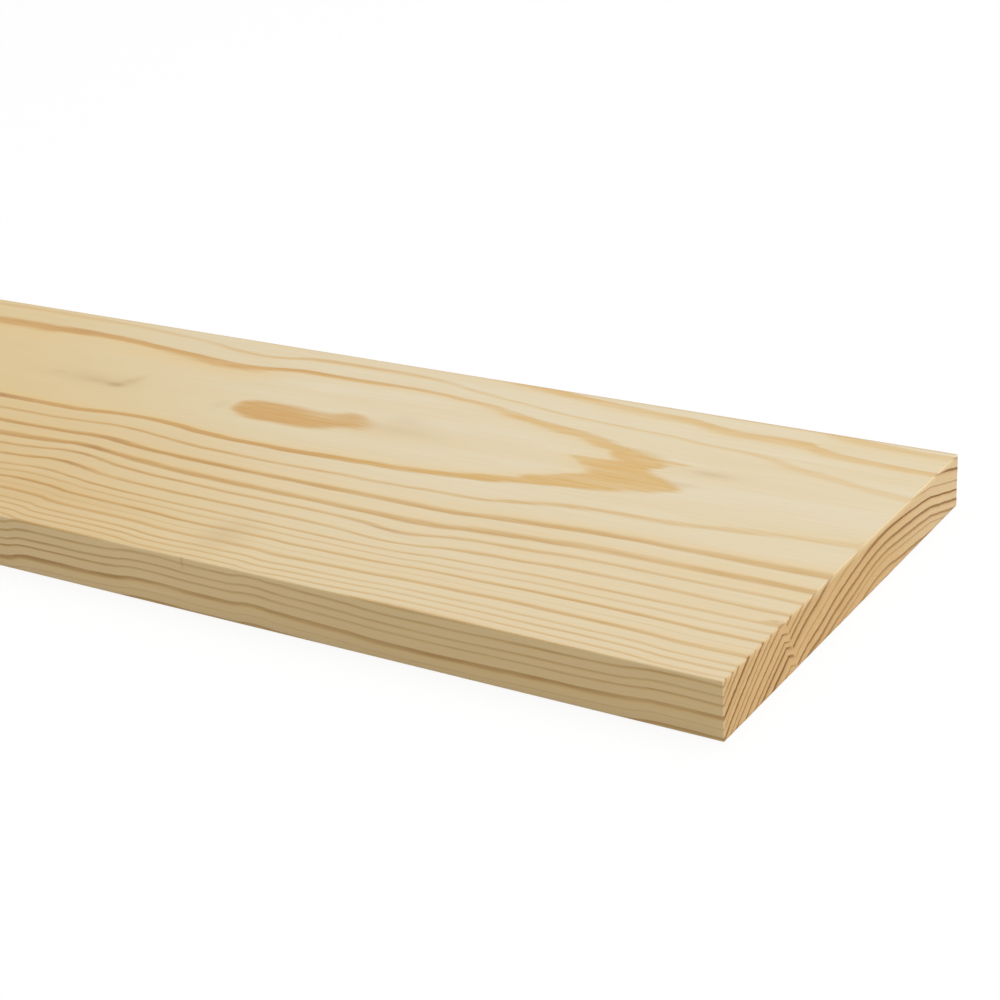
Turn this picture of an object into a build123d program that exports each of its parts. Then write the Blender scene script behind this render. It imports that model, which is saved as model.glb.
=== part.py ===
# Planed pine plank: one length of square-edged board, sawn flat from the log,
# planed on its two faces and two edges, and crosscut at both ends.
# The frame has X along the board, Y across its width and Z up through its thickness.
# The origin is the middle of the underside, on which the board lies.

import os

from build123d import *

# Driving dimensions, in millimetres
LENGTH = 1800.0  # stock length, from crosscut to crosscut
WIDTH = 195.0  # planed width
THICKNESS = 21.0  # planed thickness
ARRIS_RADIUS = 0.6  # rounding that the planer leaves on the four long arrises
END_BREAK = 0.4  # bevel rubbed on the rim of each crosscut end

PARTS_FOLDER = "parts"


def planed_section():
    """The board's section across the grain, at its left end, standing on the floor plane."""
    with BuildSketch(Plane.YZ.offset(-LENGTH / 2)) as section:
        with Locations((0, THICKNESS / 2)):
            RectangleRounded(WIDTH, THICKNESS, ARRIS_RADIUS)
    return section.sketch


def plank():
    """The whole board: its section run along X, with the rims of both ends bevelled."""
    board = extrude(planed_section(), amount=LENGTH)
    end_faces = board.faces().filter_by(Axis.X)
    rims = end_faces[0].edges() + end_faces[-1].edges()
    return chamfer(rims, END_BREAK)


os.makedirs(PARTS_FOLDER, exist_ok=True)
export_step(plank(), os.path.join(PARTS_FOLDER, "plank.step"))
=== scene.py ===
import math

import bmesh
import bpy
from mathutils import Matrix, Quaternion, Vector


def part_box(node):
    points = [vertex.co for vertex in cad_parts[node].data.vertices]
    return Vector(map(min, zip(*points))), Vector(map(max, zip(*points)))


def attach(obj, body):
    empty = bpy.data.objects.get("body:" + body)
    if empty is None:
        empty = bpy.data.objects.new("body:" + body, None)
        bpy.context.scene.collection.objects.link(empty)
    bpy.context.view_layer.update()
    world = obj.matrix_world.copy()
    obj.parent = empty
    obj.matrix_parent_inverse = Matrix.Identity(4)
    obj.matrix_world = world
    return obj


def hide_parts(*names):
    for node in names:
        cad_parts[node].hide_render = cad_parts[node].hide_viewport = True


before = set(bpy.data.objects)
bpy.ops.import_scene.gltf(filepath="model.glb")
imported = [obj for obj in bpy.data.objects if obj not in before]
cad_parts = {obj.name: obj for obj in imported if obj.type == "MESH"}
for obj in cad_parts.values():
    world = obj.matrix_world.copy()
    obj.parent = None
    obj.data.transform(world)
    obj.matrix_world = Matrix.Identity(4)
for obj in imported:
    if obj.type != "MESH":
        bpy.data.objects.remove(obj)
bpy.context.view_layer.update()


# The plank is one length of pine, sawn flat from the log a little to one side of the pith.
# It is planed on its two faces and two edges, which leaves the long arrises just rounded,
# and crosscut square at both ends, with the rim of each cut rubbed down.

MM = 0.001
low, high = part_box("plank")
LENGTH = high[0] - low[0]
WIDTH = high[1] - low[1]
THICKNESS = high[2] - low[2]
ARRIS_RADIUS = 0.6 * MM
ARRIS_STEPS = 4
END_BREAK = 0.4 * MM
END_SLICE = 1.5 * MM
SAW_ROUGHNESS = 0.06 * MM
SAW_SEED = 4
SHARP_TURN = math.radians(25)
# How far along the board a face's normal points at the least: on the flat of an end, and on its rim too
END_FLAT = 0.9
END_WITH_RIM = 0.5

bpy.ops.object.select_all(action="DESELECT")
bpy.ops.mesh.primitive_cube_add(size=1, location=(0, 0, THICKNESS / 2))
plank = bpy.context.object
plank.name = "plank_wood"
plank.scale = (LENGTH - 2 * END_BREAK, WIDTH, THICKNESS)
bpy.ops.object.transform_apply(location=True, rotation=True, scale=True)


def select_ends():
    """Selects the flat faces of the two ends and nothing else."""
    bpy.ops.mesh.select_all(action="DESELECT")
    bpy.ops.mesh.select_mode(type="FACE")
    mesh = bmesh.from_edit_mesh(plank.data)
    for face in mesh.faces:
        face.select_set(abs(face.normal.x) > END_FLAT)
    bmesh.update_edit_mesh(plank.data)


# The arrises are rounded first, then each end is drawn out by the height of its bevelled rim
bpy.ops.object.mode_set(mode="EDIT")
bpy.ops.mesh.select_all(action="DESELECT")
bpy.ops.mesh.select_mode(type="EDGE")
mesh = bmesh.from_edit_mesh(plank.data)
for edge in mesh.edges:
    edge.select_set(edge.calc_length() > LENGTH / 2)
bmesh.update_edit_mesh(plank.data)
bpy.ops.mesh.bevel(offset=ARRIS_RADIUS, segments=ARRIS_STEPS, profile=0.5)
select_ends()
bpy.ops.mesh.inset(thickness=END_BREAK, depth=END_BREAK - SAW_ROUGHNESS)

# The ends are sliced into small squares, which the saw leaves a little uneven
slices = round(WIDTH / END_SLICE)
for number in range(1, slices):
    bpy.ops.mesh.select_all(action="SELECT")
    cut_y = WIDTH * (number / slices - 0.5)
    bpy.ops.mesh.bisect(plane_co=(0, cut_y, 0), plane_no=(0, 1, 0))
layers = round(THICKNESS / END_SLICE)
for number in range(1, layers):
    bpy.ops.mesh.select_all(action="SELECT")
    bpy.ops.mesh.bisect(plane_co=(0, 0, THICKNESS * number / layers), plane_no=(0, 0, 1))
select_ends()
bpy.ops.transform.vertex_random(offset=SAW_ROUGHNESS, normal=1.0, seed=SAW_SEED)
bpy.ops.object.mode_set(mode="OBJECT")
bpy.ops.object.shade_smooth_by_angle(angle=SHARP_TURN)

# The flat sheet on which the colour is laid out: four strips along the board above each other,
# and the two ends side by side below them
STRIP_GAP = 2 * MM
SHEET_MARGIN = 0.004
END_SHARE = 0.485
sheet = plank.data.uv_layers.new(name="OFBake")
sheet_height = 2 * WIDTH + 3 * THICKNESS + 6 * STRIP_GAP
for face in plank.data.polygons:
    nx, ny, nz = face.normal
    for corner in face.loop_indices:
        x, y, z = plank.data.vertices[plank.data.loops[corner].vertex_index].co
        along = SHEET_MARGIN + (1 - 2 * SHEET_MARGIN) * (x / LENGTH + 0.5)
        if abs(nx) > END_WITH_RIM:
            along = 0.25 + 0.5 * (nx > 0) + END_SHARE * y / WIDTH
            across = z + STRIP_GAP
        elif abs(ny) > abs(nz):
            across = z + 2 * STRIP_GAP + THICKNESS + (ny > 0) * (THICKNESS + STRIP_GAP)
        else:
            across = y + WIDTH / 2 + 4 * STRIP_GAP + 3 * THICKNESS + (nz > 0) * (WIDTH + STRIP_GAP)
        sheet.data[corner].uv = (along, across / sheet_height)


# The plank's growth rings are worked out in the solid wood, in millimetres, so that each line on
# a face carries on round the arris. Along the board x runs back from the end that shows, as
# numbers below zero, y goes across from the near edge, and z goes up through the thickness.

class Strand:
    """A number that changes from place to place in the wood.

    Arithmetic on it lays the nodes that work it out.
    """

    def __init__(self, tree, socket):
        self.tree = tree
        self.socket = socket

    def feed(self, value, socket):
        """Sets a node's socket to a plain number, or links another strand to it."""
        if isinstance(value, Strand):
            self.tree.links.new(value.socket, socket)
        else:
            socket.default_value = value

    def reckon(self, operation, *others):
        node = self.tree.nodes.new("ShaderNodeMath")
        node.operation = operation
        for place, value in enumerate((self, *others)):
            self.feed(value, node.inputs[place])
        return Strand(self.tree, node.outputs[0])

    def __add__(self, other):
        return self.reckon("ADD", other)

    def __sub__(self, other):
        return self.reckon("SUBTRACT", other)

    def __mul__(self, other):
        return self.reckon("MULTIPLY", other)

    def __truediv__(self, other):
        return self.reckon("DIVIDE", other)

    def spread(self, start, end, low=0.0, high=1.0, easing="SMOOTHSTEP"):
        """Goes from low at start to high at end, and stays level beyond."""
        node = self.tree.nodes.new("ShaderNodeMapRange")
        node.interpolation_type = easing
        node.clamp = True
        settings = {"Value": self, "From Min": start, "From Max": end, "To Min": low, "To Max": high}
        for name, value in settings.items():
            self.feed(value, node.inputs[name])
        return Strand(self.tree, node.outputs[0])

    def bell(self, middle, reach):
        """A soft hump of height 1 about the middle, which has nearly gone at twice its reach."""
        away = (self - middle) / reach
        return (away * away * -1.0).reckon("EXPONENT")

    def through(self, points):
        """A smooth curve drawn through the points, level beyond its two ends."""
        points = sorted(points)
        first = points[0][0]
        last = points[-1][0]
        least = min(value for place, value in points)
        most = max(value for place, value in points)
        node = self.tree.nodes.new("ShaderNodeFloatCurve")
        node.mapping.extend = "HORIZONTAL"
        drawn = node.mapping.curves[0].points
        for place, value in points[1:-1]:
            drawn.new((place - first) / (last - first), (value - least) / (most - least))
        drawn[0].location = (0.0, (points[0][1] - least) / (most - least))
        drawn[len(drawn) - 1].location = (1.0, (points[-1][1] - least) / (most - least))
        for knot in drawn:
            knot.handle_type = "AUTO_CLAMPED"
        node.mapping.update()
        self.feed(self.spread(first, last, easing="LINEAR"), node.inputs["Value"])
        return Strand(self.tree, node.outputs[0]) * (most - least) + least

    def blend(self, one, other):
        """One value where this is 0, the other where it is 1, and a mix of the two between."""
        node = self.tree.nodes.new("ShaderNodeMix")
        node.data_type = "FLOAT"
        node.clamp_factor = True
        for place, value in ((0, self), (2, one), (3, other)):
            self.feed(value, node.inputs[place])
        return Strand(self.tree, node.outputs[0])


def wood_place(tree):
    """The x, y and z of a point in the wood, in millimetres from the end that shows."""
    spot = tree.nodes.new("ShaderNodeTexCoord")
    parts = tree.nodes.new("ShaderNodeSeparateXYZ")
    tree.links.new(spot.outputs["Object"], parts.inputs[0])
    x, y, z = [Strand(tree, socket) for socket in parts.outputs]
    return (x - LENGTH / 2) / MM, (y + WIDTH / 2) / MM, z / MM


def streaks(place, along, across, shift=0.0):
    """Streaks that run with the grain, so long and so wide in millimetres, from about -0.5 to 0.5."""
    x, y, z = place
    tree = x.tree
    stretched = tree.nodes.new("ShaderNodeCombineXYZ")
    for number, value in enumerate((x / along + shift, y / across, z / across)):
        tree.links.new(value.socket, stretched.inputs[number])
    noise = tree.nodes.new("ShaderNodeTexNoise")
    noise.inputs["Scale"].default_value = 1.0
    tree.links.new(stretched.outputs[0], noise.inputs["Vector"])
    return Strand(tree, noise.outputs[0]) - 0.5


def lumps(place, spots):
    """Soft spots added up, each with its middle and reach along x, the same along y, and its height."""
    x, y = place[:2]
    humps = []
    for x_middle, x_reach, y_middle, y_reach, height in spots:
        humps.append(x.bell(x_middle, x_reach) * y.bell(y_middle, y_reach) * height)
    return sum(humps[1:], humps[0])


# How far the rings fall away from the crown to either edge, across the top face
CROWN_Y = 127
RING_ARCH = [
    (0, 49.2), (8.5, 42.8), (19.5, 35.3), (29, 29.3), (40, 22.9), (48.7, 18.3), (60, 13.3), (70, 9.9),
    (80.5, 6.2), (90, 3.9), (98, 2.6), (107, 1.3), (116, 0.4), (CROWN_Y, 0.0), (135, 0.2), (142, 0.6),
    (149, 1.2), (160, 2.5), (166, 3.6), (174, 6.0), (182, 7.9), (190, 10.1), (195, 11.6),
]
# How much more they have fallen at the underside, where they bend tighter
UNDERSIDE_ARCH = [
    (0, 2.0), (25, 1.3), (50, 0.8), (58, 0.4), (65, 0.9), (80, 2.3), (95, 2.4), (110, 1.2), (CROWN_Y, 0.0),
    (140, 0.8), (155, 0.5), (170, -0.8), (182, -1.5), (195, -2.0),
]
# How the log's taper and its bumps lift the rings along the board, on four lines across the width
EDGE_RISE = [
    (0, -1.6), (-20, -1.8), (-28, -1.4), (-38, -0.6), (-46, -0.4), (-75, -0.1), (-115, 0.3), (-140, -0.4),
    (-160, -1.0), (-172, -1.4), (-180, -1.8), (-190, -1.0), (-205, -1.05), (-225, -1.6), (-240, -0.6),
    (-258, 0.05), (-280, 0.1), (-290, 0.85), (-298, 1.7), (-320, 1.5), (-345, 0.6), (-400, -0.4),
    (-480, -1.2),
]
NEAR_RISE = [
    (0, 0.0), (-70, 0.1), (-100, -0.6), (-130, -1.5), (-152, -2.3), (-175, -2.3), (-200, -2.2), (-250, -1.9),
    (-278, -1.1), (-294, 0.0), (-304, 0.8), (-312, 1.1), (-322, 0.5), (-335, -0.3), (-350, -0.8),
    (-400, -1.2), (-480, -1.5),
]
CROWN_RISE = [
    (0, 0.0), (-40, -0.9), (-60, -1.75), (-82, -2.65), (-100, -3.1), (-118, -3.55), (-130, -4.1),
    (-142, -4.7), (-160, -5.15), (-185, -5.85), (-214, -6.38), (-226, -6.62), (-240, -6.76), (-262, -6.8),
    (-279, -6.65), (-291, -6.15), (-310, -5.9), (-347, -6.1), (-390, -6.1), (-450, -6.0), (-480, -6.2),
]
FAR_RISE = [
    (0, 1.0), (-20, 0.88), (-34, 0.6), (-42, 0.3), (-49, -0.3), (-56, -1.0), (-80, -0.95), (-90, -1.2),
    (-100, -1.85), (-110, -2.3), (-120, -2.35), (-140, -2.85), (-160, -3.7), (-180, -4.6), (-200, -5.85),
    (-220, -7.1), (-240, -7.55), (-262, -7.4), (-280, -7.4), (-290, -7.1), (-300, -6.3), (-310, -6.0),
    (-320, -6.25), (-340, -7.15), (-360, -7.85), (-400, -8.8), (-440, -8.9), (-480, -8.7),
]
# The same four lines on the rest of the board, counted on from where those stop
EDGE_RISE_ON = [
    (-480, 0.0), (-560, 0.6), (-660, -0.8), (-780, -2.2), (-900, -1.6), (-1010, 0.2), (-1120, 1.4),
    (-1230, 0.6), (-1370, -1.2), (-1500, -2.4), (-1650, -1.4), (-1800, -1.8),
]
NEAR_RISE_ON = [
    (-480, 0.0), (-520, -0.5), (-600, 0.5), (-720, -1.1), (-830, -2.0), (-950, -1.3), (-1050, 0.3),
    (-1150, 1.5), (-1250, 0.7), (-1380, -1.0), (-1500, -2.0), (-1640, -1.1), (-1800, -1.5),
]
CROWN_RISE_ON = [
    (-480, 0.0), (-520, -0.8), (-600, -2.3), (-700, -4.8), (-800, -6.3), (-900, -5.3), (-1000, -1.8),
    (-1090, 1.2), (-1150, 2.0), (-1230, 0.7), (-1330, -2.8), (-1450, -5.8), (-1560, -7.3), (-1680, -5.8),
    (-1800, -4.3),
]
FAR_RISE_ON = [
    (-480, 0.0), (-520, 0.3), (-620, -1.0), (-760, -2.5), (-900, -2.0), (-1020, 0.5), (-1120, 2.5),
    (-1200, 2.0), (-1330, -0.5), (-1460, -3.0), (-1600, -3.5), (-1800, -2.3),
]
# Where across the width each of those lines gives way to the next
EDGE_TO_NEAR = (3, 40)
NEAR_TO_CROWN = (69, 104)
CROWN_TO_FAR = (158, 176)
# How much deeper the rings dip just short of the far edge
FAR_HOLLOW_Y = 169
FAR_HOLLOW_REACH = 8
FAR_HOLLOW = [
    (-480, 0.0), (-440, 0.0), (-410, 0.4), (-380, 0.7), (-345, 0.5), (-300, 0.7), (-240, 0.95), (-200, 1.7),
    (-175, 1.2), (-155, 0.3), (-140, 0.0),
]
# How the crown's surface ripples where a ring runs out in a flame on the top face
FLAME = [
    (100, 0.0), (104, 0.05), (108.5, -0.18), (112, -0.22), (117, -0.22), (122, -0.17), (126, 0.03),
    (131, 0.17), (136, 0.14), (137, -0.03), (138.5, -0.35), (140, -0.39), (143, -0.32), (145, -0.4),
    (148, -0.47), (152, -0.6), (158, -0.4), (166, -0.2), (172, 0.0),
]
# The log's small bumps and hollows, by the flame, by the island behind it, and nearer to the near edge
FLAME_LUMPS = [
    (-149, 9, 108.5, 3.5, 0.3), (-146, 14, 154.5, 4.5, 0.4), (-140, 8, 104, 3, 0.3),
    (-137, 10, 113.5, 3.5, 0.45), (-134, 10, 112, 4, 0.22), (-130, 7, 136, 2.4, 0.3),
    (-130, 5, 134, 2.5, 0.12), (-127, 8, 118, 3.5, 0.28),
    (-124, 9, 143.5, 3, -0.4), (-124, 5, 131, 4, 0.16), (-119, 6, 147, 2.2, -0.2),
    (-117, 9, 153.5, 2.5, 0.25), (-116, 12, 120, 6, 0.3), (-94, 7, 114, 3, 0.14),
    (-92, 7, 133.5, 3.5, 0.2), (-86, 9, 138.5, 3, 0.75), (-86, 6, 144, 1.8, -0.15),
    (-83, 6, 129, 3, 0.13), (-83, 6, 117, 3, 0.13), (-73, 9, 122, 5, 0.22),
]
ISLAND_LUMPS = [
    (-283, 8, 119, 4, 0.14), (-264, 20, 139, 5, 0.2), (-258, 12, 116, 3, 0.09), (-252, 6, 136, 3, 0.08),
    (-247, 7, 135, 3, 0.08), (-242, 6, 136, 3.5, 0.1), (-230, 7, 138, 4, -0.14), (-229, 10, 119, 5, 0.2),
    (-226, 7, 122.5, 2.5, 0.08),
]
NEAR_LUMPS = [
    (-306, 22, 69, 7, -1.2), (-245, 50, 97, 6, -0.25), (-152, 16, 46, 9, -1.6), (-100, 28, 94, 8, 0.75),
    (-95, 40, 78, 6, 0.45), (0, 45, 104, 8, -0.2),
]
# The small crease across the rings at the end that shows: where it meets the top face, how far it leans
# away from the near edge for each millimetre down, and over what width and how far the rings are bent
CREASE_Y = 43.5
CREASE_LEAN = 0.475
CREASE_WIDTH = 3.6
CREASE_DEPTH = 3.8
CREASE_DEPTH_AT_TOP = 2.4
# Each ring's outer edge at the crown, how dark its latewood is, and how thick that is
RINGS = [
    (75.5, 0.45, 0.6), (73.0, 0.5, 0.6), (70.2, 0.5, 0.6), (67.1, 0.5, 0.65), (63.9, 0.5, 0.65),
    (61.1, 0.55, 0.7), (57.1, 0.85, 1.15), (53.5, 0.2, 0.4), (50.75, 0.8, 0.8), (47.2, 0.35, 0.6),
    (44.2, 0.55, 0.7), (39.7, 0.65, 0.75), (35.4, 0.6, 0.65), (32.4, 0.75, 1.0), (28.0, 0.85, 1.2),
    (22.45, 0.46, 0.55), (18.35, 0.9, 0.8), (14.4, 0.8, 1.1), (10.7, 0.65, 1.0), (8.0, 0.3, 0.7),
    (4.2, 0.65, 1.0), (0.6, 0.6, 1.0), (-3.0, 0.7, 1.0), (-6.1, 0.35, 0.8), (-9.8, 0.7, 1.1),
    (-13.6, 0.6, 1.0), (-17.1, 0.7, 1.1),
]


def past_crease(y, z):
    """How far a point lies beyond the crease, counted across the board."""
    return y - CREASE_Y - (z * -1.0 + THICKNESS / MM) * CREASE_LEAN


def ring_height(place):
    """How far out from the pith a point grew, told as the height of its ring's crown above the underside."""
    x, y, z = place
    depth = z * (-MM / THICKNESS) + 1.0
    rise = x.through(EDGE_RISE) + x.through(EDGE_RISE_ON)
    for handover, seen, unseen in (
        (EDGE_TO_NEAR, NEAR_RISE, NEAR_RISE_ON),
        (NEAR_TO_CROWN, CROWN_RISE, CROWN_RISE_ON),
        (CROWN_TO_FAR, FAR_RISE, FAR_RISE_ON),
    ):
        share = y.spread(*handover, easing="LINEAR")
        rise = share.blend(rise, x.through(seen) + x.through(unseen))
    height = z + y.through(RING_ARCH) + depth * y.through(UNDERSIDE_ARCH) + rise
    height = height - x.through(FAR_HOLLOW) * y.bell(FAR_HOLLOW_Y, FAR_HOLLOW_REACH)

    # A swell and a hollow near the far edge toward the end that shows, the one high and the other low,
    # a hollow across the middle farther back, and one low on the near edge
    far_swell = x.spread(-90, -50, 0.0, 0.2) + x.spread(-30, -18, 0.0, 0.25)
    height = height + far_swell * y.bell(156, 8) * z.spread(14, 20)
    height = height - x.spread(-60, -20) * y.bell(174, 9) * z.spread(21, 17)
    height = height - x.spread(-315, -345) * y.bell(97, 7) * 0.7
    height = height - y.bell(0, 6) * z.bell(8, 3) * 0.5

    flame = x.spread(-200, -150) * x.spread(-80, -45, 1.0, 0.0)
    height = height + flame * y.through(FLAME)
    height = height + lumps(place, FLAME_LUMPS + ISLAND_LUMPS + NEAR_LUMPS)

    beyond = past_crease(y, z)
    fold = beyond.spread(-CREASE_WIDTH, 0.0, easing="LINEAR") * beyond.spread(0.0, 0.3, 1.0, 0.0)
    height = height + fold * x.spread(-10, -1) * z.spread(15, 21, CREASE_DEPTH, CREASE_DEPTH_AT_TOP)

    # The rings waver a little everywhere, and least at the crown, where they lie nearly flat
    wobble = streaks(place, 60, 9) * 0.8 + streaks(place, 16, 1.5) * 0.5
    return height + wobble * (y.bell(CROWN_Y, 24) * -0.75 + 1.0)


def pick(share, one, other):
    """Takes one ring's three values or the other's."""
    tree = share.tree
    node = tree.nodes.new("ShaderNodeMix")
    node.data_type = "VECTOR"
    tree.links.new(share.socket, node.inputs[0])
    for number, value in ((4, one), (5, other)):
        if isinstance(value, bpy.types.NodeSocket):
            tree.links.new(value, node.inputs[number])
        else:
            node.inputs[number].default_value = value
    return node.outputs[1]


def split(tree, ring):
    """A ring's outer edge, darkness and thickness, each by itself."""
    parts = tree.nodes.new("ShaderNodeSeparateXYZ")
    tree.links.new(ring, parts.inputs[0])
    return [Strand(tree, socket) for socket in parts.outputs]


# The group finds which ring a point lies in, and tells how deep it lies under that ring's outer edge,
# how dark and how thick the latewood there is, and how far it lies past the next ring inside
rings = bpy.data.node_groups.new("growth_rings", "ShaderNodeTree")
for name in ("Depth", "Strength", "Band", "Past", "Strength inside"):
    rings.interface.new_socket(name=name, in_out="OUTPUT", socket_type="NodeSocketFloat")
height = ring_height(wood_place(rings))
ring = RINGS[0]
ring_inside = RINGS[1]
for number in range(1, len(RINGS) - 1):
    reached = height.reckon("LESS_THAN", RINGS[number][0])
    ring = pick(reached, ring, RINGS[number])
    ring_inside = pick(reached, ring_inside, RINGS[number + 1])
outer_edge, strength, band = split(rings, ring)
edge_inside, strength_inside = split(rings, ring_inside)[:2]
found = rings.nodes.new("NodeGroupOutput")
for number, value in enumerate((outer_edge - height, strength, band, height - edge_inside, strength_inside)):
    rings.links.new(value.socket, found.inputs[number])


def tint(red, green, blue):
    """A colour given on the 0 to 255 scale, as the linear colour that a shader takes."""
    shares = [value / 255 for value in (red, green, blue)]
    linear = [value / 12.92 if value <= 0.04045 else ((value + 0.055) / 1.055) ** 2.4 for value in shares]
    return linear + [1.0]


def stain(share, under, over):
    """Lays one colour over another as strongly as the share says."""
    tree = share.tree
    node = tree.nodes.new("ShaderNodeMix")
    node.data_type = "RGBA"
    node.clamp_factor = True
    tree.links.new(share.socket, node.inputs[0])
    for place, colour in ((6, under), (7, over)):
        if isinstance(colour, bpy.types.NodeSocket):
            tree.links.new(colour, node.inputs[place])
        else:
            node.inputs[place].default_value = colour
    return node.outputs[2]


def new_finish(name):
    """A material with one plain shader, and the ring group laid beside it."""
    finish = bpy.data.materials.new(name)
    finish.use_nodes = True
    tree = finish.node_tree
    shader = tree.nodes["Principled BSDF"]
    grown = tree.nodes.new("ShaderNodeGroup")
    grown.node_tree = rings
    return finish, tree, shader, [Strand(tree, socket) for socket in grown.outputs]


def raise_grain(tree, shader, height, strength, distance):
    """Gives the surface a fine relief."""
    bump = tree.nodes.new("ShaderNodeBump")
    bump.inputs["Strength"].default_value = strength
    bump.inputs["Distance"].default_value = distance
    tree.links.new(height.socket, bump.inputs["Height"])
    tree.links.new(bump.outputs[0], shader.inputs["Normal"])


# Planed pine: pale earlywood, and latewood that comes on slowly as honey and stops in a brown line
PALE_WOOD = tint(220, 206, 174)
YELLOW_WOOD = tint(215, 189, 134)
WARM_WOOD = tint(220, 198, 157)
DEEP_WOOD = tint(205, 170, 112)
EDGE_WOOD = tint(223, 197, 148)
EDGE_WOOD_ALONG = tint(234, 207, 158)
MOTTLED_WOOD = tint(219, 195, 150)
FIBRE_WOOD = tint(205, 180, 134)
HONEY_GLOW = tint(220, 184, 114)
HONEY = tint(204, 159, 74)
HONEY_ALONG = tint(197, 149, 70)
LATEWOOD = tint(184, 137, 56)
EDGE_LATEWOOD = tint(176, 136, 76)
RING_EDGE = tint(150, 104, 48)
DARK_SPOT = tint(148, 94, 32)
SHADE_PATCH_TONE = tint(184, 152, 102)
SHADED_FAR_ARRIS = tint(188, 152, 98)
SCRATCH = tint(150, 120, 78)
# How boldly the lines show along the board, where they turn darker, and where shade is painted in grey-brown
# patches
BOLDNESS = [
    (0, 0.58), (-120, 0.77), (-220, 0.93), (-330, 1.2), (-480, 1.1), (-700, 0.9), (-1200, 1.0),
    (-1800, 0.85),
]
DARK_SPOTS = [
    (-408, 20, 173, 8, 0.25), (-388, 14, 97, 6, 0.8), (-306, 7, 60, 20, 1.0), (-158, 8, 50, 5, 1.0),
]
SHADE_PATCHES = [
    (-382, 4, 128.5, 2, 0.2), (-362, 22, 128, 7, 0.25), (-358, 8, 126.5, 2.2, 0.3),
    (-347, 4.5, 125.6, 2.3, 0.85), (-344, 4, 131, 3.5, 0.4), (-342, 3, 136, 4, 0.2), (-290, 4, 125, 4, 0.2),
    (-208, 8, 141, 4, 0.15), (-207, 9, 22, 13, 0.3), (-205, 18, 131, 6, 0.25), (-80, 6, 127.5, 2.2, 0.25),
    (-74, 9, 140.5, 2.8, 0.4),
]
SCRATCH_X = -209
SCRATCH_REACH = 0.7
FAR_EDGE = WIDTH / MM

planed, tree, shader, (depth, strength, band, past, strength_inside) = new_finish("planed_pine")
place = wood_place(tree)
x, y, z = place
fibre = streaks(place, 34, 0.45)
mottle = streaks(place, 110, 17, shift=7.3)
# Painted light: the planed faces are laid paler and whiter toward the end that shows and the far edge, as if
# lit and glossed there, and darker and yellower back from them
painted_light_falloff = (x + y * 1.2).spread(-40, -280)
on_edges = y.spread(0.1, 0.7, 1.0, 0.0) + y.spread(FAR_EDGE - 0.7, FAR_EDGE - 0.1)
upper = z.spread(15, 19)
crown = y.bell(CROWN_Y, 34) * upper

# The lines come and go in streaks, and are fainter or bolder than that in these parts of the board
boldness = streaks(place, 70, 7, shift=3.1) * 1.3 + streaks(place, 15, 1.4, shift=5.7) * 0.8 + 1.0
boldness = boldness * x.through(BOLDNESS)
far_side = y.spread(138, 160) * x.spread(-330, -270) * -0.22
far_left = x.spread(-290, -350) * y.spread(177, 183) * -0.45
edges = on_edges * (x.spread(-180, -110) * 0.2 + x.spread(-230, -290) * 0.12)
end_corners = x.spread(-120, -50) * (y.spread(60, 35) + y.spread(140, 155)) * 0.2
across = y.bell(92, 12) * 0.3 - y.bell(17, 4) * 0.3 - x.bell(-160, 70) * y.spread(100, 80) * 0.07
flame_back = x.bell(-135, 20) * y.bell(133, 9) * -0.3
for change in (far_side, far_left, edges, end_corners, across, flame_back):
    boldness = boldness * (change + 1.0)

# A ring's latewood glows first, has a darker core, ends in a thin dark edge, and falls off just past it
band = band * (y.spread(165, 177) * x.spread(-75, -45, 0.05, 0.4) + 1.0)
soft = (upper - crown) * 0.22 + 0.3
fall = past.spread(0.0, soft, 1.0, 0.0) * strength_inside
glow = depth.spread(band * 0.3, band * 2.6, 1.0, 0.0) * strength
core = depth.spread(band * (crown * 0.4 + 0.4), band * (crown * -0.4 + 1.5), 1.0, 0.0) * strength
core = core.reckon("MAXIMUM", fall) * boldness * (fibre * 1.1 + 1.0)
edge = depth.spread(0.0, 0.15, 1.0, 0.0) * strength * boldness

# The colours are laid on from the pale wood, with light and sheen painted along the board, up to the marks
# on its face and patches of painted shade
honey = stain(x.spread(-180, -230), HONEY, HONEY_ALONG)
latewood = stain(y.spread(70, 115) * upper, LATEWOOD, honey)
latewood = stain(on_edges, latewood, EDGE_LATEWOOD)
colour = stain(painted_light_falloff, PALE_WOOD, YELLOW_WOOD)
colour = stain(y.spread(120, 60) * upper * (painted_light_falloff * -0.5 + 0.6), colour, WARM_WOOD)
deeper = x.spread(-190, -300) * (y.spread(120, 60) * 0.5 + y.spread(50, 10) * 0.25)
colour = stain(deeper * upper, colour, DEEP_WOOD)
colour = stain(on_edges, colour, EDGE_WOOD)
colour = stain(on_edges * x.spread(-120, -240) * 0.5, colour, EDGE_WOOD_ALONG)
colour = stain(mottle * 2.0 + 0.18, colour, MOTTLED_WOOD)
colour = stain(fibre * 0.8 + 0.1, colour, FIBRE_WOOD)
colour = stain(glow * boldness * (crown * -0.1 + 0.6), colour, HONEY_GLOW)
colour = stain(core, colour, latewood)
colour = stain(edge * (crown * -0.25 + 0.3), colour, RING_EDGE)
colour = stain(lumps(place, DARK_SPOTS) * core * 0.5, colour, DARK_SPOT)
# Painted shade: grey-brown patches on the top face, in shallow dimples and beside the flame and the island
colour = stain(lumps(place, SHADE_PATCHES) * upper, colour, SHADE_PATCH_TONE)
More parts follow.
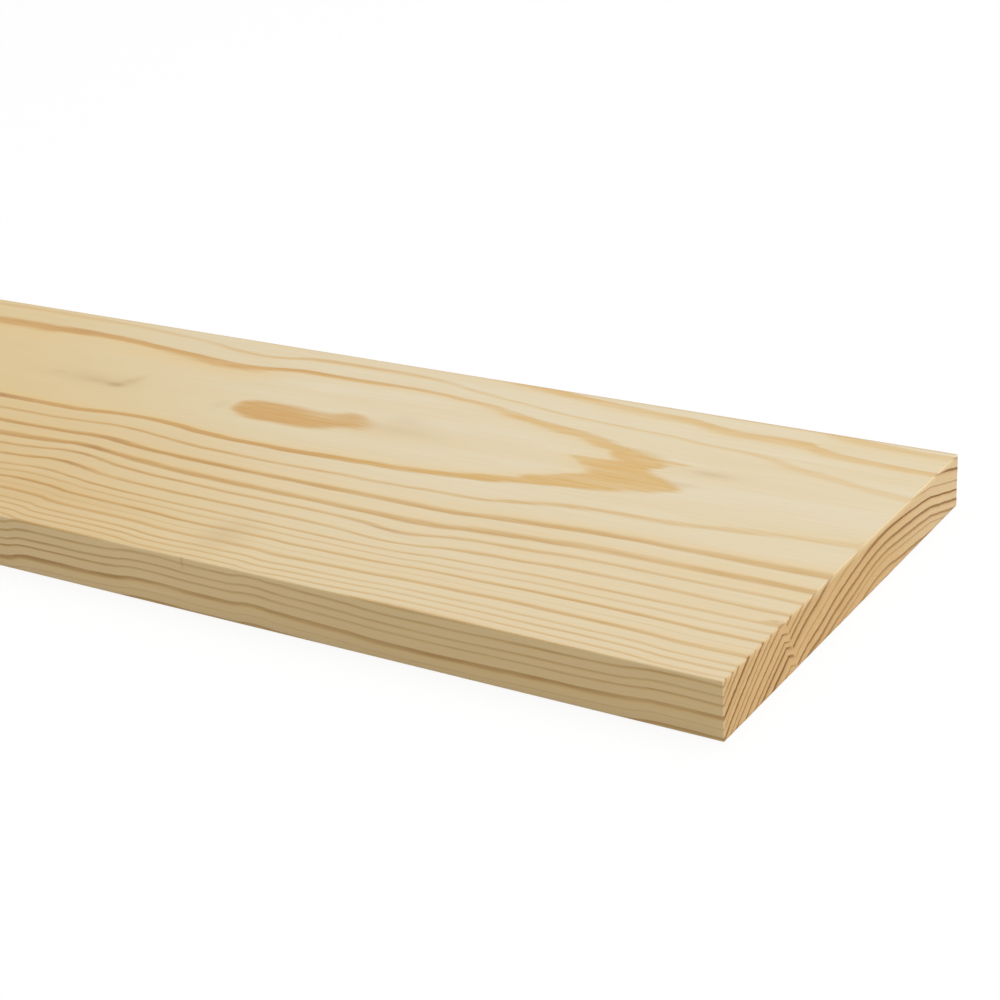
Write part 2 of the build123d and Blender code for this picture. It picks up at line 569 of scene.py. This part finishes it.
# Painted shade: a darker line along the far arris, where its rounded edge turns away from the light
far_arris_shade = y.spread(FAR_EDGE - 2.4, FAR_EDGE - 0.6) * upper
colour = stain(far_arris_shade * x.spread(-300, -60, 0.2, 0.45), colour, SHADED_FAR_ARRIS)
colour = stain(x.bell(SCRATCH_X, SCRATCH_REACH) * upper * on_edges * 0.22, colour, SCRATCH)
tree.links.new(colour, shader.inputs["Base Color"])
sheen = core * -0.06 + fibre * 0.12 + 0.5
tree.links.new(sheen.socket, shader.inputs["Roughness"])
raise_grain(tree, shader, fibre, 0.2, 0.06 * MM)

# Crosscut pine: the same rings looked at end on, browner and duller, with the fuzz of the saw
END_WOOD = tint(228, 194, 141)
END_WOOD_MOTTLED = tint(219, 180, 123)
END_WOOD_FAR = tint(238, 213, 170)
SAW_GRIT = tint(186, 142, 88)
END_GLOW = tint(196, 148, 88)
TORN_AND_LIT_RIM = tint(234, 212, 170)
END_LATEWOOD = tint(138, 94, 42)
SHADED_LOWER_RIM = tint(146, 106, 62)
CREASE_LINE = tint(224, 190, 136)
END_ROUGHNESS = 0.78

crosscut, tree, shader, (depth, strength, band, past, strength_inside) = new_finish("crosscut_pine")
place = wood_place(tree)
x, y, z = place
grit = streaks(place, 1.0, 0.35)
mottle = streaks(place, 60, 5, shift=2.2)

# The lines are darker where they lie close and toward the far edge, and paler on the upper rim and near
# corner
close = y.spread(60, 40, 0.0, 0.25)
far_lines = y.spread(110, 150, 1.0, 1.18)
strength = (strength * strength * 0.85 + close + 0.2) * far_lines
strength_inside = (strength_inside * strength_inside * 0.85 + close + 0.2) * far_lines
# The upper rim and the near corner are partly torn pale by the saw and partly painted highlight where they
# catch the light
rim = (z + grit * 2.4).spread(18.8, 20.0) * y.spread(45, 75, 0.3, 1.0)
rim = rim.reckon("MAXIMUM", y.spread(0.3, 1.3, 0.6, 0.0))

band = band * y.spread(60, 130, 1.25, 0.9)
soft = y.bell(116, 18) * z.spread(16.5, 18.0)
fall = past.spread(0.0, soft + 0.2, 1.0, 0.0) * strength_inside
glow = depth.spread(band * 0.3, band * 2.8, 1.0, 0.0) * strength
core = depth.spread(band * 0.6, band * 1.25, 1.0, 0.0) * strength
core = core.reckon("MAXIMUM", fall) * (rim * -0.5 + 1.0)

# The crease bends the lines at the end that shows and nowhere else
creased = x.spread(-20, -5)
seam = past_crease(y, z) - 0.2
hook = seam.spread(-CREASE_WIDTH, -0.4) * seam.spread(0.0, 0.4, 1.0, 0.0) * creased

# The colours are laid on from the sawn wood up to the rims, with painted highlight above and painted shade
# below, and the crease
colour = stain(mottle * 1.2 + 0.3, END_WOOD, END_WOOD_MOTTLED)
colour = stain(y.spread(110, 185) * 0.8, colour, END_WOOD_FAR)
colour = stain(grit * 2.2 + 0.12, colour, SAW_GRIT)
colour = stain(glow * 0.55, colour, END_GLOW)
# Painted highlight, partly: the rim is laid paler for the light it catches as well as for the saw's torn
# fuzz
colour = stain(rim * 0.7, colour, TORN_AND_LIT_RIM)
colour = stain(core * (hook * -0.45 + 0.95), colour, END_LATEWOOD)
# Painted shade: the end is laid darker along its lower rim, next to the floor
colour = stain(z.spread(1.3, 0.3) * 0.35, colour, SHADED_LOWER_RIM)
colour = stain(seam.bell(0.0, 0.5) * creased * 0.55, colour, CREASE_LINE)
tree.links.new(colour, shader.inputs["Base Color"])
shader.inputs["Roughness"].default_value = END_ROUGHNESS
raise_grain(tree, shader, grit, 0.4, 0.12 * MM)

plank.data.materials.append(planed)
plank.data.materials.append(crosscut)
for face in plank.data.polygons:
    face.material_index = 1 if abs(face.normal.x) > END_WITH_RIM else 0

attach(plank, "root")
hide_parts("plank")


# The floor is a plain pale sheet that the plank lies on. It reads white to the camera,
# keeps the plank's soft shadow near by, and fades to plain white farther off.

FLOOR_SIZE = 60
FLOOR_DROP = 0.0002
FLOOR_COLOUR = tint(206, 199, 184)
WHITE = tint(255, 255, 255)
SHADOW_REACH = 1.1
PLAIN_WHITE_FROM = 2.4
WHITE_SHARE_NEAR = 0.9


def looked_at(tree):
    """Is 1 for what the camera sees, straight or in a shiny thing, and 0 for what lights the plank."""
    rays = tree.nodes.new("ShaderNodeLightPath")
    seen = Strand(tree, rays.outputs["Is Camera Ray"])
    for name in ("Is Glossy Ray", "Is Transmission Ray"):
        seen = seen.reckon("MAXIMUM", Strand(tree, rays.outputs[name]))
    return seen


bpy.ops.object.select_all(action="DESELECT")
bpy.ops.mesh.primitive_plane_add(size=FLOOR_SIZE, location=(0, 0, -FLOOR_DROP))
floor = bpy.context.object
floor.name = "floor"
bpy.ops.object.transform_apply(location=True)
paper = bpy.data.materials.new("pale_floor")
paper.use_nodes = True
tree = paper.node_tree
matt = tree.nodes["Principled BSDF"]
matt.inputs["Roughness"].default_value = 1.0
matt.inputs["Specular IOR Level"].default_value = 0.0
white = tree.nodes.new("ShaderNodeEmission")
seen = looked_at(tree)
tree.links.new(stain(seen, FLOOR_COLOUR, WHITE), matt.inputs["Base Color"])
spot = tree.nodes.new("ShaderNodeTexCoord")
reach = tree.nodes.new("ShaderNodeVectorMath")
reach.operation = "LENGTH"
tree.links.new(spot.outputs["Object"], reach.inputs[0])
plain = Strand(tree, reach.outputs["Value"]).spread(SHADOW_REACH, PLAIN_WHITE_FROM, WHITE_SHARE_NEAR, 1.0)
mixed = tree.nodes.new("ShaderNodeMixShader")
tree.links.new((seen * plain).socket, mixed.inputs[0])
tree.links.new(matt.outputs[0], mixed.inputs[1])
tree.links.new(white.outputs[0], mixed.inputs[2])
tree.links.new(mixed.outputs[0], tree.nodes["Material Output"].inputs["Surface"])
floor.data.materials.append(paper)


# The studio is an even white room with a large soft lamp overhead, a weaker one off the end
# that shows, and the weakest in front of the near edge. The room's own light is kept low,
# so that the top, the end and the edge each have their own tone.

ROOM_LIGHT = 0.34

room = bpy.data.worlds.new("white_room")
bpy.context.scene.world = room
room.use_nodes = True
tree = room.node_tree
walls = tree.nodes["Background"]
walls.inputs["Color"].default_value = WHITE
lit = looked_at(tree).spread(0, 1, ROOM_LIGHT, 1.0, easing="LINEAR")
tree.links.new(lit.socket, walls.inputs["Strength"])


def soft_lamp(name, place, aim, size, power):
    """A square soft lamp that faces the point it is aimed at."""
    bpy.ops.object.light_add(type="AREA", location=place)
    lamp = bpy.context.object
    lamp.name = name
    lamp.rotation_euler = (Vector(aim) - Vector(place)).to_track_quat("-Z", "Y").to_euler()
    lamp.data.size = size
    lamp.data.energy = power


soft_lamp("overhead_lamp", place=(0.9, 0.9, 2.6), aim=(0.2, 0.0, 0.0), size=2.4, power=50)
soft_lamp("end_lamp", place=(3.2, -0.4, 1.2), aim=(0.6, 0.0, 0.0), size=1.6, power=28)
soft_lamp("front_lamp", place=(0.2, -3.4, 1.0), aim=(0.4, 0.0, 0.0), size=2.0, power=14)

view = bpy.context.scene.view_settings
view.view_transform = "Standard"


# The camera stands in front of the near corner with a long lens, and looks down along the board
# toward its left. It is held a little off level, as the picture was taken.

EYE = (1.15967, -0.61476, 0.33434)
HEADING = math.radians(-32.959)
LOOK_DOWN = math.radians(23.458)
TILT = math.radians(3.493)
LENS = 78.41
SENSOR = 36.0

bpy.ops.object.camera_add(location=EYE)
camera = bpy.context.object
camera.data.sensor_width = SENSOR
camera.data.lens = LENS
level = math.cos(LOOK_DOWN)
gaze = Vector((math.sin(HEADING) * level, math.cos(HEADING) * level, -math.sin(LOOK_DOWN)))
turned = gaze.to_track_quat("-Z", "Y") @ Quaternion((0, 0, 1), -TILT)
camera.rotation_euler = turned.to_euler()
bpy.context.scene.camera = camera
